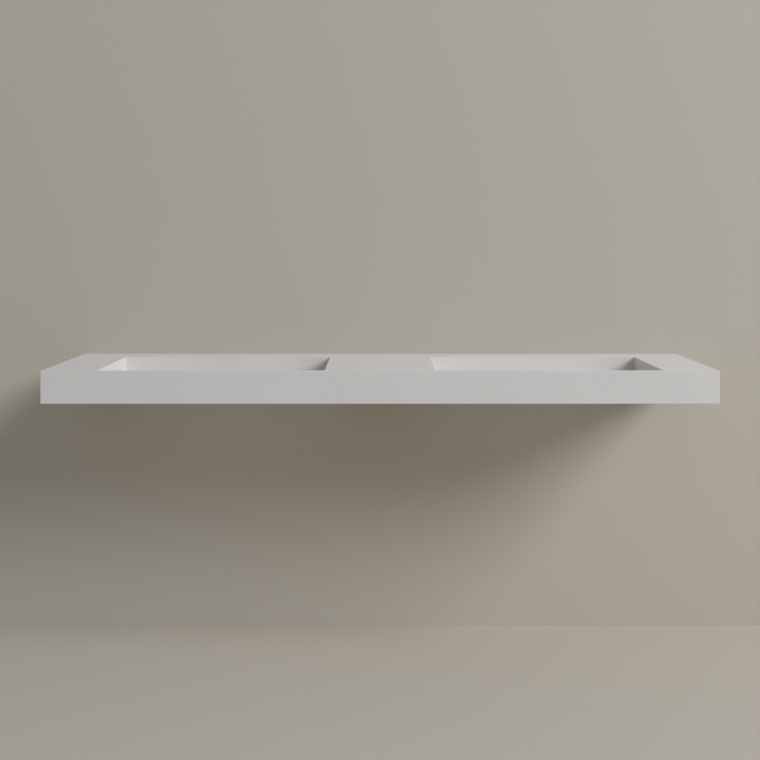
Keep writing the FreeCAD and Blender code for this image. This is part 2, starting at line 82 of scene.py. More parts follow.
# %% [markdown]
# ## The camera
# The upright edges of the object stay upright in the picture, so the camera looks level and
# its frame is shifted down. Turning the camera down instead would make those edges lean. The
# lens follows from the row of the horizon and from the widths of the front and back edges.

# %% A level camera with a shifted frame
image_side = 760
horizon_row = 239.5
focal_pixels = 1206.0
eye_distance = 3.246
eye_height = 0.3535

camera_data = bpy.data.cameras.new("camera")
camera_data.sensor_width = 36.0
camera_data.lens = focal_pixels / image_side * camera_data.sensor_width
camera_data.shift_y = (horizon_row - image_side / 2) / image_side
camera = bpy.data.objects.new("camera", camera_data)
camera.location = (0.0, front_face - eye_distance, deck_top + eye_height)
camera.rotation_euler = (math.pi / 2, 0.0, 0.0)
scene.collection.objects.link(camera)
scene.camera = camera
print(f"lens {camera_data.lens:.1f} mm, shift {camera_data.shift_y:.3f}")

# %% [markdown]
# ## Node helpers
# A finish is a small network of shader nodes. One function adds a node and fills or links its
# sockets, so that each finish below reads as a list of what it is made of. Colours are written
# as they look on a screen, from 0 to 255, and turned into the linear values that a shader uses.

# %% Colours, nodes and an empty finish


def tint(red, green, blue):
    """A screen colour as linear light: ((c + 0.055) / 1.055) to the power 2.4, or c / 12.92 near black."""
    c = np.array([red, green, blue]) / 255.0
    linear = np.where(c > 0.04045, ((c + 0.055) / 1.055) ** 2.4, c / 12.92)
    return (*linear.tolist(), 1.0)


def put(tree, kind, settings=None, **sockets):
    """Adds a node. Settings are its options; sockets are its inputs, each a value or an output to link."""
    made = tree.nodes.new("ShaderNode" + kind)
    for name, value in (settings or {}).items():
        setattr(made, name, value)
    for name, value in sockets.items():
        socket = made.inputs[name.replace("_", " ")]
        if isinstance(value, bpy.types.NodeSocket):
            tree.links.new(value, socket)
        else:
            socket.default_value = value
    return made


def fresh(name, **constants):
    """An empty material with one principled shader, its tree and the piece's own coordinates."""
    material = bpy.data.materials.new(name)
    material.use_nodes = True
    tree = material.node_tree
    tree.nodes.clear()
    shader = put(tree, "BsdfPrincipled", **constants)
    put(tree, "OutputMaterial", Surface=shader.outputs["BSDF"])
    place = put(tree, "TexCoord").outputs["Object"]
    return material, tree, shader, place


print(f"screen grey 128 is {tint(128, 128, 128)[0]:.3f} of full light")

# %% [markdown]
# ## The stage
# A pale floor and a pale backdrop stand where a floor and a wall would be, so that the top casts
# its soft shadow and takes their light. Both are painted on the front only: seen from behind
# or from below they are clear, so the hidden sides of the top can be looked at as well.

# %% Paint for the stage
stage_colour = tint(187, 181, 170)
stage_roughness = 0.9
stage_gloss = 0.2


def stage_paint(name):
    """A matt paint on the front of a surface, clear from behind."""
    material, tree, shader, _ = fresh(name, Base_Color=stage_colour, Roughness=stage_roughness)
    shader.inputs["Specular IOR Level"].default_value = stage_gloss
    clear = put(tree, "BsdfTransparent")
    behind = put(tree, "NewGeometry").outputs["Backfacing"]
    mixed = put(tree, "MixShader", Fac=behind)
    tree.links.new(shader.outputs["BSDF"], mixed.inputs[1])
    tree.links.new(clear.outputs["BSDF"], mixed.inputs[2])
    output = next(n for n in tree.nodes if n.type == "OUTPUT_MATERIAL")
    tree.links.new(mixed.outputs["Shader"], output.inputs["Surface"])
    return material


print("stage colour", [round(c, 3) for c in stage_colour])

# %% Floor and backdrop
floor_drop = 0.840
stage_reach = 5.0
backdrop_gap = 0.001


def stage_sheet(name, corners):
    """A flat stage piece through four corners, which run anticlockwise seen from its front."""
    mesh = bpy.data.meshes.new(name)
    mesh.from_pydata(corners, [], [(0, 1, 2, 3)])
    mesh.materials.append(stage_paint(name))
    sheet = bpy.data.objects.new(name, mesh)
    scene.collection.objects.link(sheet)


floor_level = deck_top - floor_drop
floor_corners = [
    (-stage_reach, -stage_reach, floor_level),
    (stage_reach, -stage_reach, floor_level),
    (stage_reach, stage_reach, floor_level),
    (-stage_reach, stage_reach, floor_level),
]
wall_corners = [
    (-stage_reach, backdrop_gap, floor_level),
    (stage_reach, backdrop_gap, floor_level),
    (stage_reach, backdrop_gap, floor_level + stage_reach),
    (-stage_reach, backdrop_gap, floor_level + stage_reach),
]
stage_sheet("floor", floor_corners)
stage_sheet("backdrop", wall_corners)
print(f"floor at {floor_level:.3f} m, backdrop at {backdrop_gap:.3f} m")

# %% [markdown]
# ## The light
# A large soft lamp stands far off in front, to the right and above, so the right end is a little
# brighter than the left and the right walls of the sinks lie in shade. Seen against this lamp, the
# sheen of a matt sheet would bleach it, as on a table by a window. A photographer turns a filter to
# take that sheen away and keeps the glint on metal, so the lamp is made twice: once for matt light,
# and once for the glint alone. The back and the underside would stay dark against the wall, so another
# lamp stands behind and below. A later cell tells two of them which pieces they light.

# %% Key lamp, glint lamp and hidden-side lamp
key_direction = (0.74, -0.455, 0.52)
key_distance = 14.0
key_size = 6.0
key_power = 1655.0
key_colour = (0.985, 1.0, 1.03)
hidden_side_direction = (-0.45, 0.70, -0.55)
hidden_side_distance = 6.0
hidden_side_size = 8.0
hidden_side_power = 340.0
middle = Vector((0.0, front_face / 2, 0.0))


def aimed_lamp(name, direction, distance, size, power):
    """A square lamp that stands off in a direction and faces the middle of the top."""
    data = bpy.data.lights.new(name, "AREA")
    data.shape = "SQUARE"
    data.size = size
    data.energy = power
    lamp = bpy.data.objects.new(name, data)
    away = Vector(direction).normalized()
    lamp.location = middle + away * distance
    lamp.rotation_euler = away.to_track_quat("Z", "Y").to_euler()
    scene.collection.objects.link(lamp)
    print(name, "at", [round(v, 2) for v in lamp.location])
    return lamp


key_lamp = aimed_lamp("key_lamp", key_direction, key_distance, key_size, key_power)
key_lamp.data.color = key_colour
key_lamp.visible_glossy = False
glint_lamp = aimed_lamp("glint_lamp", key_direction, key_distance, key_size, key_power)
glint_lamp.visible_diffuse = False
hidden_side_lamp = aimed_lamp(
    "hidden_side_lamp", hidden_side_direction, hidden_side_distance, hidden_side_size, hidden_side_power
)

# %% [markdown]
# ## The sky
# An even pale sky fills what the lamps leave dark. The camera, and what mirrors or lets through the
# surroundings, should see a plain tone like the stage's instead, so a ray that comes straight from the
# eye, from gloss or through glass is shown a second background.

# %% An even sky, and a plain tone for what looks at it
sky_strength = 0.368
sky_colour = tint(247, 249, 250)
surroundings_colour = tint(172, 167, 158)


def maths(tree, operation, first, second=0.0):
    """One step of arithmetic on two values."""
    made = put(tree, "Math", {"operation": operation})
    for socket, value in zip(made.inputs, (first, second)):
        if isinstance(value, bpy.types.NodeSocket):
            tree.links.new(value, socket)
        else:
            socket.default_value = value
    return made.outputs["Value"]


def studio_sky():
    """A world that lights with one background and shows another: the greatest of three rays' flags picks."""
    world = bpy.data.worlds.new("sky")
    world.use_nodes = True
    tree = world.node_tree
    tree.nodes.clear()
    lighting = put(tree, "Background", Color=sky_colour, Strength=sky_strength)
    seen = put(tree, "Background", Color=surroundings_colour)
    ray = put(tree, "LightPath").outputs
    looked_at = maths(tree, "MAXIMUM", ray["Is Camera Ray"], ray["Is Glossy Ray"])
    shown = put(tree, "MixShader", Fac=maths(tree, "MAXIMUM", looked_at, ray["Is Transmission Ray"]))
    tree.links.new(lighting.outputs["Background"], shown.inputs[1])
    tree.links.new(seen.outputs["Background"], shown.inputs[2])
    put(tree, "OutputWorld", Surface=shown.outputs["Shader"])
    return world


scene.world = studio_sky()
scene.view_settings.view_transform = "Standard"
print("sky strength", sky_strength)

# %% [markdown]
# ## Patterns
# Nearly every finish is noise in a few coats: a slow one for the tone, a fine one for the grain and
# one for the sheen. These helpers make the noise, turn it into colours or into a range of values, and
# raise the surface by it. Scales are in blobs to the metre, because coordinates are in metres.

# %% Noise, colours from it, and a bumpy surface


def noise(tree, place, scale, detail=2.0, roughness=0.5):
    """Cloudy noise with about scale blobs to the metre, from 0 to 1."""
    made = put(tree, "TexNoise", Vector=place, Scale=scale, Detail=detail, Roughness=roughness)
    return made.outputs["Fac"]


def between(tree, value, low, high, start=0.3, end=0.7):
    """Maps a value from start..end to low..high and holds it there."""
    made = put(tree, "MapRange", Value=value, From_Min=start, From_Max=end, To_Min=low, To_Max=high)
    return made.outputs["Result"]


def ramp(tree, value, *stops):
    """Colours that a value from 0 to 1 runs through, as (place, colour) stops."""
    made = put(tree, "ValToRGB", Fac=value)
    elements = made.color_ramp.elements
    while len(elements) < len(stops):
        elements.new(0.5)
    for element, (position, colour) in zip(elements, stops):
        element.position = position
        element.color = colour
    return made.outputs["Color"]


def blended(tree, mode, first, second, amount):
    """Two colours mixed by a blend mode, the second by an amount from 0 to 1."""
    made = put(tree, "MixRGB", {"blend_type": mode}, Fac=amount, Color1=first, Color2=second)
    return made.outputs["Color"]


def bumped(tree, shader, height, depth, strength):
    """Gives the shader a surface that rises by depth metres where height is 1."""
    made = put(tree, "Bump", Height=height, Distance=depth, Strength=strength)
    tree.links.new(made.outputs["Normal"], shader.inputs["Normal"])


def link(tree, output, shader, socket):
    """Links an output to a socket of the shader."""
    tree.links.new(output, shader.inputs[socket])


finishes = {}
white = tint(255, 255, 255)
print("patterns ready, finishes so far:", len(finishes))

# %% [markdown]
# ## Solid surface
# The sheets are an acrylic filled with fine white mineral, cast through and through and sanded
# to a silky matt. Close up it is faintly cloudy, with a very fine grain and the traces of the
# sander in its sheen. All of that is solid noise, which runs through every joint unbroken, as
# the sander does. A picture of the surface would have to be laid out on every sheet instead.

# %% Solid surface


def solid_surface():
    """Warm white with slow drift, fine mineral grain, and sanding in the sheen and the surface."""
    material, tree, shader, place = fresh("solid_surface")
    drift = noise(tree, place, scale=3.0, detail=3.0)
    grain = noise(tree, place, scale=700.0, detail=4.0, roughness=0.7)
    tone = ramp(tree, drift, (0.3, tint(216, 214, 213)), (0.7, tint(220, 218, 217)))
    speck = ramp(tree, grain, (0.35, tint(243, 242, 241)), (0.6, white))
    link(tree, blended(tree, "MULTIPLY", tone, speck, amount=0.6), shader, "Base Color")
    sanding = noise(tree, place, scale=60.0, detail=6.0, roughness=0.65)
    link(tree, between(tree, sanding, low=0.40, high=0.52), shader, "Roughness")
    tooth = noise(tree, place, scale=1800.0, detail=3.0, roughness=0.6)
    bumped(tree, shader, tooth, depth=0.00002, strength=0.6)
    return material


finishes["solid_surface"] = solid_surface()
print("finishes:", ", ".join(finishes))

# %% [markdown]
# ## Plywood
# The bearers are birch plywood. Their edges show the plies, light and dark in turn because every
# second one is seen end on, with a thin dark glue line between. Height alone tells which ply a
# point lies in, so the bands come from the Z coordinate. The grain is noise drawn out along the
# length of the bearer, and pores are finer noise drawn out the same way.

# %% Plywood
ply_thickness = 0.0014


def stretched(tree, place, x, y, z):
    """The coordinates multiplied along each axis, so that a pattern is drawn out along the small ones."""
    return put(tree, "Mapping", Vector=place, Scale=(x, y, z)).outputs["Vector"]


def part_of(tree, vector, axis):
    """One coordinate of a vector."""
    return put(tree, "SeparateXYZ", Vector=vector).outputs[axis]


def plywood():
    """Bands of ply by height, times long grain and pores along Y."""
    material, tree, shader, place = fresh("bearer_plywood")
    height = maths(tree, "SUBTRACT", part_of(tree, place, "Z"), bearer_foot - ply_thickness / 2)
    turn = maths(tree, "FRACT", maths(tree, "DIVIDE", height, 2 * ply_thickness))
    light_ply, glue_line, dark_ply = tint(216, 188, 143), tint(122, 84, 48), tint(183, 146, 98)
    bands = ramp(
        tree,
        turn,
        (0.0, glue_line),
        (0.03, light_ply),
        (0.47, light_ply),
        (0.5, glue_line),
        (0.53, dark_ply),
        (0.97, dark_ply),
        (1.0, glue_line),
    )
    along = stretched(tree, place, x=1.0, y=0.045, z=1.0)
    figure = noise(tree, along, scale=160.0, detail=6.0, roughness=0.65)
    grain = ramp(tree, figure, (0.3, tint(205, 180, 150)), (0.55, white))
    pores = noise(tree, along, scale=1500.0, detail=3.0, roughness=0.7)
    specks = ramp(tree, pores, (0.30, tint(150, 118, 84)), (0.42, white))
    wood = blended(tree, "MULTIPLY", bands, grain, amount=0.8)
    link(tree, blended(tree, "MULTIPLY", wood, specks, amount=0.7), shader, "Base Color")
    link(tree, between(tree, figure, low=0.55, high=0.75), shader, "Roughness")
    bumped(tree, shader, pores, depth=0.00006, strength=0.5)
    return material


finishes["bearer_plywood"] = plywood()
print("ply bands of", ply_thickness * 1000, "mm")

# %% [markdown]
# ## Powder coat
# The brackets are welded steel under a charcoal powder coat. The powder melts into a skin with the
# fine dimples of an orange, a millimetre or so across, and handling leaves a few pale scuffs. A
# soft cell pattern gives the dimples, and thin streaks of noise give the scuffs.

# %% Powder coat
dimples_per_metre = 850.0


def powder_coat():
    """Charcoal skin with orange-peel dimples, and pale scuffs where drawn-out noise is high."""
    material, tree, shader, place = fresh("bracket_powder_coat")
    cloud = noise(tree, place, scale=25.0, detail=3.0)
    skin = ramp(tree, cloud, (0.3, tint(80, 82, 85)), (0.7, tint(93, 95, 98)))
    along = stretched(tree, place, x=1.0, y=0.08, z=1.0)
    streak = noise(tree, along, scale=420.0, detail=4.0, roughness=0.6)
    scuff = between(tree, streak, low=0.0, high=0.55, start=0.66, end=0.76)
    link(tree, blended(tree, "MIX", skin, tint(138, 140, 142), amount=scuff), shader, "Base Color")
    link(tree, between(tree, cloud, low=0.38, high=0.52), shader, "Roughness")
    cells = {"feature": "SMOOTH_F1"}
    peel = put(tree, "TexVoronoi", cells, Vector=place, Scale=dimples_per_metre, Smoothness=0.8)
    bumped(tree, shader, peel.outputs["Distance"], depth=0.00007, strength=0.6)
    return material


finishes["bracket_steel"] = powder_coat()
print(f"dimples {1000 / dimples_per_metre:.1f} mm across")

# %% [markdown]
# ## Metals of the drains and the fasteners
# Four bare metals are used: chrome plate on the drains and plugs, brass in the nuts and inserts,
# zinc on the screws and washers, and drawn spring steel. A metal has no paint to colour it, so
# what tells them apart is the tint of the reflection and how it is broken up: wiped smudges on
# chrome, turning lines and tarnish on brass, grey spangle on zinc, and drawing lines on wire.

# %% Chrome


def chrome():
    """Bright plate with wiped smudges and fine hairlines in the sheen."""
    material, tree, shader, place = fresh("drain_chrome", Metallic=1.0)
    smudge = noise(tree, place, scale=55.0, detail=5.0, roughness=0.6)
    tone = ramp(tree, smudge, (0.3, tint(203, 206, 209)), (0.7, tint(214, 216, 218)))
    link(tree, tone, shader, "Base Color")
    hairline = noise(tree, stretched(tree, place, x=1.0, y=0.05, z=1.0), scale=2200.0)
    wiped = maths(tree, "ADD", smudge, maths(tree, "MULTIPLY", hairline, 0.3))
    link(tree, between(tree, wiped, low=0.07, high=0.20, start=0.4, end=0.9), shader, "Roughness")
    return material


finishes["drain_chrome"] = chrome()
print("chrome made")

# %% Brass


def brass():
    """Turned brass: lines of the lathe by height, an even dulling, and a few small brown stains."""
    material, tree, shader, place = fresh("turned_brass", Metallic=1.0)
    dulling = noise(tree, place, scale=70.0, detail=6.0, roughness=0.7)
    lathe = noise(tree, stretched(tree, place, x=0.05, y=0.05, z=1.0), scale=2600.0)
    tone = ramp(tree, dulling, (0.3, tint(196, 160, 98)), (0.7, tint(214, 181, 116)))
    line = ramp(tree, lathe, (0.3, tint(222, 214, 200)), (0.7, white))
    turned = blended(tree, "MULTIPLY", tone, line, amount=0.6)
    spots = noise(tree, place, scale=310.0, detail=3.0, roughness=0.6)
    stain = between(tree, spots, low=0.0, high=0.5, start=0.64, end=0.74)
    link(tree, blended(tree, "MIX", turned, tint(146, 108, 62), amount=stain), shader, "Base Color")
    link(tree, between(tree, dulling, low=0.40, high=0.26), shader, "Roughness")
    bumped(tree, shader, lathe, depth=0.00002, strength=0.5)
    return material


finishes["nut_brass"] = brass()
finishes["insert_brass"] = finishes["nut_brass"]
print("brass made, for nuts and inserts")

# %% Zinc and spring steel


def zinc():
    """Plated zinc: grey spangle with a faint warm and blue cast."""
    material, tree, shader, place = fresh("fastener_zinc", Metallic=1.0)
    spangle = noise(tree, place, scale=420.0, detail=4.0, roughness=0.6)
    blue, grey, warm = tint(170, 176, 186), tint(196, 198, 200), tint(204, 201, 190)
    link(tree, ramp(tree, spangle, (0.3, blue), (0.5, grey), (0.7, warm)), shader, "Base Color")
    link(tree, between(tree, spangle, low=0.26, high=0.46), shader, "Roughness")
    bumped(tree, shader, noise(tree, place, scale=1600.0), depth=0.00002, strength=0.4)
    return material


def drawn_steel():
    """Drawn stainless wire and rod: fine lines by height, and a dull patch here and there."""
    material, tree, shader, place = fresh("spring_steel", Metallic=1.0)
    lines = noise(tree, stretched(tree, place, x=1.0, y=1.0, z=0.04), scale=3000.0)
    tone = ramp(tree, lines, (0.3, tint(166, 168, 170)), (0.7, tint(196, 197, 198)))
    link(tree, tone, shader, "Base Color")
    dull = noise(tree, place, scale=300.0, detail=3.0)
    link(tree, between(tree, dull, low=0.22, high=0.38), shader, "Roughness")
    return material


finishes["fastener_zinc"] = zinc()
finishes["spring_steel"] = drawn_steel()
print("zinc and steel made, finishes so far:", len(finishes))

# %% [markdown]
# ## Rubber, nylon and acetal
# The seals are black rubber, pressed in a mould and dusted with talc. The slip washer is milky
# nylon, and the click cartridge is white acetal, slick and slightly waxy. None of them is a
# flat colour: talc lies in patches, and moulded plastics have a faint flow in their sheen.

# %% Rubber


def rubber():
    """Black moulded rubber with talc in patches."""
    material, tree, shader, place = fresh("rubber_seal")
    talc = noise(tree, place, scale=140.0, detail=5.0, roughness=0.65)
    tone = ramp(tree, talc, (0.35, tint(30, 30, 32)), (0.75, tint(62, 62, 63)))
    link(tree, tone, shader, "Base Color")
    link(tree, between(tree, talc, low=0.62, high=0.86), shader, "Roughness")
    bumped(tree, shader, noise(tree, place, scale=1400.0, detail=3.0), depth=0.00004, strength=0.5)
    return material


finishes["rubber_seal"] = rubber()
print("rubber made")

# %% Nylon and acetal
nylon_tones = (tint(214, 210, 196), tint(228, 225, 213))
acetal_tones = (tint(226, 227, 226), tint(238, 238, 236))


def moulded_plastic(name, dark, pale, low_sheen, high_sheen):
    """A pale moulded plastic with flow marks in its tone and its sheen."""
    material, tree, shader, place = fresh(name)
    along = stretched(tree, place, x=1.0, y=1.0, z=0.4)
    flow = noise(tree, along, scale=160.0, detail=4.0, roughness=0.55)
    link(tree, ramp(tree, flow, (0.3, dark), (0.7, pale)), shader, "Base Color")
    link(tree, between(tree, flow, low_sheen, high_sheen), shader, "Roughness")
    bumped(tree, shader, noise(tree, place, scale=900.0), depth=0.00002, strength=0.4)
    return material


finishes["slip_nylon"] = moulded_plastic("slip_nylon", *nylon_tones, low_sheen=0.36, high_sheen=0.5)
finishes["cartridge_acetal"] = moulded_plastic(
    "cartridge_acetal", *acetal_tones, low_sheen=0.26, high_sheen=0.38
)
print("finishes for", len(finishes), "slots")

# %% [markdown]
# ## Put the finishes on
# Each piece of the model names the slot that its material fills, so the record says which finish
# goes where. The meshes stay as they are.

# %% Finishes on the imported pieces
slot_of = {entry["node"]: entry["material_slot"] for entry in frame["record"]["subparts"]}
for name, piece in nodes.items():
    piece.data.materials.clear()
    piece.data.materials.append(finishes[slot_of[name]])
print("dressed", len(nodes), "pieces")

# %% [markdown]
# ## Surfaces from arrays
# What follows is built from closed tubes. A tube is an array of rings of points: the first index
# runs along it and the second round it. Rolling that array by one gives each point's neighbour,
# so all the faces come out at once, with no loop over points. A flat face closes each end, unless
# the last ring runs on into the first, as in a hollow sleeve.

# %% Tubes into a mesh
crease_angle = math.radians(50)
made_pieces = []


def tubes_to_piece(name, tubes, finish, endless=False):
    """Joins tubes into one piece of the top: quads from ring to ring, and a flat face at each end."""
    points = []
    faces = []
    first = 0
    for tube in tubes:
        rings, around = tube.shape[:2]
        index = first + np.arange(rings * around).reshape(rings, around)
        here = index if endless else index[:-1]
        there = np.roll(index, -1, 0)[: len(here)]
        quads = np.stack([here, np.roll(here, -1, 1), np.roll(there, -1, 1), there], axis=-1)
        faces += quads.reshape(-1, 4).tolist()
        if not endless:
            faces += [index[0, ::-1].tolist(), index[-1].tolist()]
        points.append(tube.reshape(-1, 3))
        first += rings * around
    mesh = bpy.data.meshes.new(name)
    mesh.from_pydata(np.concatenate(points), [], faces)
    mesh.polygons.foreach_set("use_smooth", np.ones(len(faces), bool))
    mesh.set_sharp_from_angle(angle=crease_angle)
    mesh.materials.append(finish)
    piece = bpy.data.objects.new(name, mesh)
    scene.collection.objects.link(piece)
    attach(piece, "top")
    made_pieces.append(piece)
    print(f"{name}: {len(tubes)} tubes, {len(faces)} faces")
    return piece


print("edges over", round(math.degrees(crease_angle)), "degrees stay crisp")

# %% [markdown]
# ## Along a seam
# Glue and weld metal lie in the corner between two faces. Such a bead is a section carried along the
# seam, measured from the corner along two legs, one on each face. A hand never holds it quite even.
# Sines of lengths that don't divide each other make a waver that doesn't seem to repeat, and unlike
# random numbers they come out the same each time.

# %% A section along a seam, and a hand's unevenness
right, back, up = np.eye(3)
waver_lengths = np.array([0.071, 0.031, 0.0137])
waver_shares = np.array([0.45, 0.35, 0.2])
waver_shifts = np.array([1.0, 2.3, 4.1])


def seam_tube(start, end, leg_a, leg_b, section):
    """A bead along a seam. A point is corner + section a times leg a + section b times leg b.

    The section is an array of rings of (a, b). Its rings turn from leg a to leg b, which faces
    outwards when leg a, leg b and the seam are a right-handed set; otherwise they are reversed."""
    start, end, leg_a, leg_b = (np.array(v, float) for v in (start, end, leg_a, leg_b))
    share = np.linspace(0.0, 1.0, len(section))[:, None, None]
    corner = start + share * (end - start)
    points = corner + section[..., :1] * leg_a + section[..., 1:] * leg_b
    right_handed = np.dot(np.cross(leg_a, leg_b), end - start) > 0
    return points if right_handed else points[:, ::-1]


def unevenness(along, seed):
    """From -1 to 1 along a seam: the sum of three sines, each times its share and shifted by a seed."""
    turns = along[:, None] / waver_lengths
    return (waver_shares * np.sin(2 * math.pi * turns + seed * waver_shifts)).sum(axis=1)


one_metre = unevenness(np.linspace(0.0, 1.0, 1000), seed=0)
print(f"unevenness over a metre: {one_metre.min():.2f} to {one_metre.max():.2f}")

# %% [markdown]
# ## Beads of adhesive
# The sheets are glued with a two-part adhesive. What squeezes out is sanded off wherever it can be
# seen and wiped to a fillet wherever it can't. A fillet is hollow: its section is the quarter
# circle that bulges towards the corner. Its size wavers a little, as a finger's pressure does.

# %% Adhesive


def adhesive():
    """The joint adhesive, mixed to the colour of the sheet: a shade paler, glossier and wavy, as it set."""
    material, tree, shader, place = fresh("adhesive")
    cloud = noise(tree, place, scale=90.0, detail=3.0)
    tone = ramp(tree, cloud, (0.3, tint(221, 219, 214)), (0.7, tint(230, 228, 224)))
    link(tree, tone, shader, "Base Color")
    gloss = noise(tree, place, scale=240.0, detail=4.0)
    link(tree, between(tree, gloss, low=0.22, high=0.40), shader, "Roughness")
    bumped(tree, shader, noise(tree, place, scale=420.0, detail=3.0), depth=0.00020, strength=0.5)
    return material


adhesive_finish = adhesive()
print("adhesive made")

# %% The form of a fillet
bead_radius = 0.0042
bead_waver = 0.16
bead_pitch = 0.004
fillet_steps = 7
seam_sink = 0.0002


def fillet(start, end, leg_a, leg_b, radius):
    """A hollow fillet: r times (1 - sin t, 1 - cos t) for t from 0 to a quarter turn.

    The radius r is an array, one value for each ring along the seam. Three more points close the
    section just behind the two faces and the corner."""
    t = np.linspace(0.0, math.pi / 2, fillet_steps)
    hollow = radius[:, None, None] * np.stack([1 - np.sin(t), 1 - np.cos(t)], axis=-1)
    sunk = np.full_like(radius, -seam_sink)
    behind = np.stack([sunk, sunk], axis=-1)[:, None]
    toe_a = np.stack([radius, sunk], axis=-1)[:, None]
    toe_b = np.stack([sunk, radius], axis=-1)[:, None]
    section = np.concatenate([behind, toe_a, hollow, toe_b], axis=1)
    return seam_tube(start, end, leg_a, leg_b, section)


def bead(start, end, leg_a, leg_b, seed):
    """A wiped bead of adhesive: a fillet whose radius is r times (1 + waver times unevenness)."""
    length = np.linalg.norm(np.subtract(end, start))
    along = np.linspace(0.0, length, int(length / bead_pitch) + 2)
    return fillet(start, end, leg_a, leg_b, bead_radius * (1 + bead_waver * unevenness(along, seed)))


print(f"beads of {bead_radius * 1000:.1f} mm, give or take {bead_waver:.0%}")

# %% Beads in the hidden corners
sides = ("left", "right")
seeds_per_sink = 7


def hidden_seams(side):
    """The glued corners round one sink, each as its start, its end and the directions of its two legs."""
    low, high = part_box(f"{side}_basin_floor")
    wall_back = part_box(f"{side}_basin_back_wall")[1].y
    outward = right if side == "right" else -right
    end_x = outward[0] * side_inside
    return [
        ((low.x, front_inside, low.z), (high.x, front_inside, low.z), back, -up),
        ((low.x, wall_back, deck_under), (high.x, wall_back, deck_under), back, -up),
        ((low.x, rail_front, deck_under), (high.x, rail_front, deck_under), -back, -up),
        ((end_x, front_inside, bearer_foot), (end_x, front_inside, apron_foot), back, -outward),
    ]


for number, side in enumerate(sides):
    first_seed = number * seeds_per_sink
    beads = [bead(*seam, first_seed + i) for i, seam in enumerate(hidden_seams(side))]
    tubes_to_piece(f"{side}_adhesive_beads", beads, adhesive_finish)

# %% [markdown]
# ## Coves in the sinks
# A sharp inside corner holds dirt. So where the walls of a sink meet its floor and each other, the
# maker rubs a small fillet of adhesive into the corner and sands it flush. It is even and has the
# finish of the sheet. The floor falls to the drain, so one leg of its fillet follows that slope. In
# the upright corners the fillet runs out below the rim, where the edge of the opening stays crisp.

# %% Coves along the floor
floor_cove = 0.004
drain_flat = 0.045


def middle_of(name):
    """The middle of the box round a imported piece."""
    low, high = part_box(name)
    return (low + high) / 2


def sink_inside(side):
    """The inner faces of a sink's walls, left, right, front and back, and the foot of the walls."""
    (_, front_y, foot), (left_x, back_y, _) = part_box(f"{side}_basin_left_wall")
    return left_x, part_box(f"{side}_basin_right_wall")[0].x, front_y, back_y, foot


def floor_coves(side):
    """A cove along each wall. Its lower leg points from the wall to the flat round the drain."""
    left_x, right_x, front_y, back_y, foot = sink_inside(side)
    drain = middle_of(f"{side}_drain_body")
    fall = (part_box(f"{side}_drain_body")[1].z - foot) * up
    even = np.full(2, floor_cove)
    coves = []
    for x, sign in ((left_x, 1), (right_x, -1)):
        slope = (drain.x - sign * drain_flat - x) * right + fall
        slope /= np.linalg.norm(slope)
        coves.append(fillet((x, front_y, foot), (x, back_y, foot), slope, up, even))
    for y, sign in ((front_y, 1), (back_y, -1)):
        slope = (drain.y - sign * drain_flat - y) * back + fall
        slope /= np.linalg.norm(slope)
        coves.append(fillet((left_x, y, foot), (right_x, y, foot), slope, up, even))
    return coves


print("sink insides:", [[round(v, 4) for v in sink_inside(side)] for side in sides])

# %% Coves up the corners
corner_cove = 0.001
rim_ease = 0.0008
run_out = 0.004
run_out_steps = 25
thinnest = 0.02


def corner_coves(side):
    """A cove up each corner. Its radius falls off below the rim as the last quarter of a sine wave."""
    left_x, right_x, front_y, back_y, foot = sink_inside(side)
    height = deck_top - rim_ease - foot
    to_rim = height * np.linspace(1.0, 0.0, run_out_steps)
    fading = corner_cove * np.sin(math.pi / 2 * np.clip(to_rim / run_out, thinnest, 1))
    coves = []
    for x, inward_x in ((left_x, right), (right_x, -right)):
        for y, inward_y in ((front_y, back), (back_y, -back)):
            coves.append(fillet((x, y, foot), (x, y, foot + height), inward_x, inward_y, fading))
    return coves


for side in sides:
    coves = floor_coves(side) + corner_coves(side)
    tubes_to_piece(f"{side}_sink_coves", coves, finishes["solid_surface"])

# %% [markdown]
# ## Weld beads
# A bracket is three flat bars joined by fillet welds: upright where the web meets the wall plate,
# across where the arm meets it, and in stitches under the arm, so that the long seam doesn't pull
# it crooked. Each pulse of the welder freezes as a curved ripple. The section is a convex corner,
# and the ripple is a wave along the seam whose crest lags in the middle of the section.

# %% The form of a weld
weld_leg = 0.0042
weld_convexity = 0.45
weld_steps = 9
weld_pitch = 0.00045
weld_waver = 0.05
weld_end = 0.0035
weld_blunt = 0.03
ripple_length = 0.0021
ripple_bow = 0.45
ripple_depth = 0.09


def weld(start, end, leg_a, leg_b, seed):
    """A weld: leg times (cos t, sin t), drawn in towards the chord, times ripple, waver and rounded ends.

    The ripple is 1 give or take half its depth, most in the middle of the section, and an end is
    rounded as a quarter circle."""
    length = np.linalg.norm(np.subtract(end, start))
    along = np.linspace(0.0, length, int(length / weld_pitch) + 2)
    t = np.linspace(0.0, math.pi / 2, weld_steps)
    chord = 1 / (np.cos(t) + np.sin(t))
    bulge = weld_convexity + (1 - weld_convexity) * chord
    crest = along[:, None] / ripple_length - ripple_bow * np.sin(2 * t)
    ripple = 1 + ripple_depth * (np.abs(np.sin(math.pi * crest)) - 0.5) * np.sin(2 * t)
    from_end = np.minimum(along, length - along)
    closing = np.sqrt(1 - (1 - np.clip(from_end / weld_end, weld_blunt, 1)) ** 2)
    leg = weld_leg * closing * (1 + weld_waver * unevenness(along, seed))
    size = leg[:, None] * bulge * ripple
    face = np.stack([size * np.cos(t), size * np.sin(t)], axis=-1)
    behind = np.full((len(along), 1, 2), -seam_sink)
    section = np.concatenate([behind, face], axis=1)
    return seam_tube(start, end, leg_a, leg_b, section)


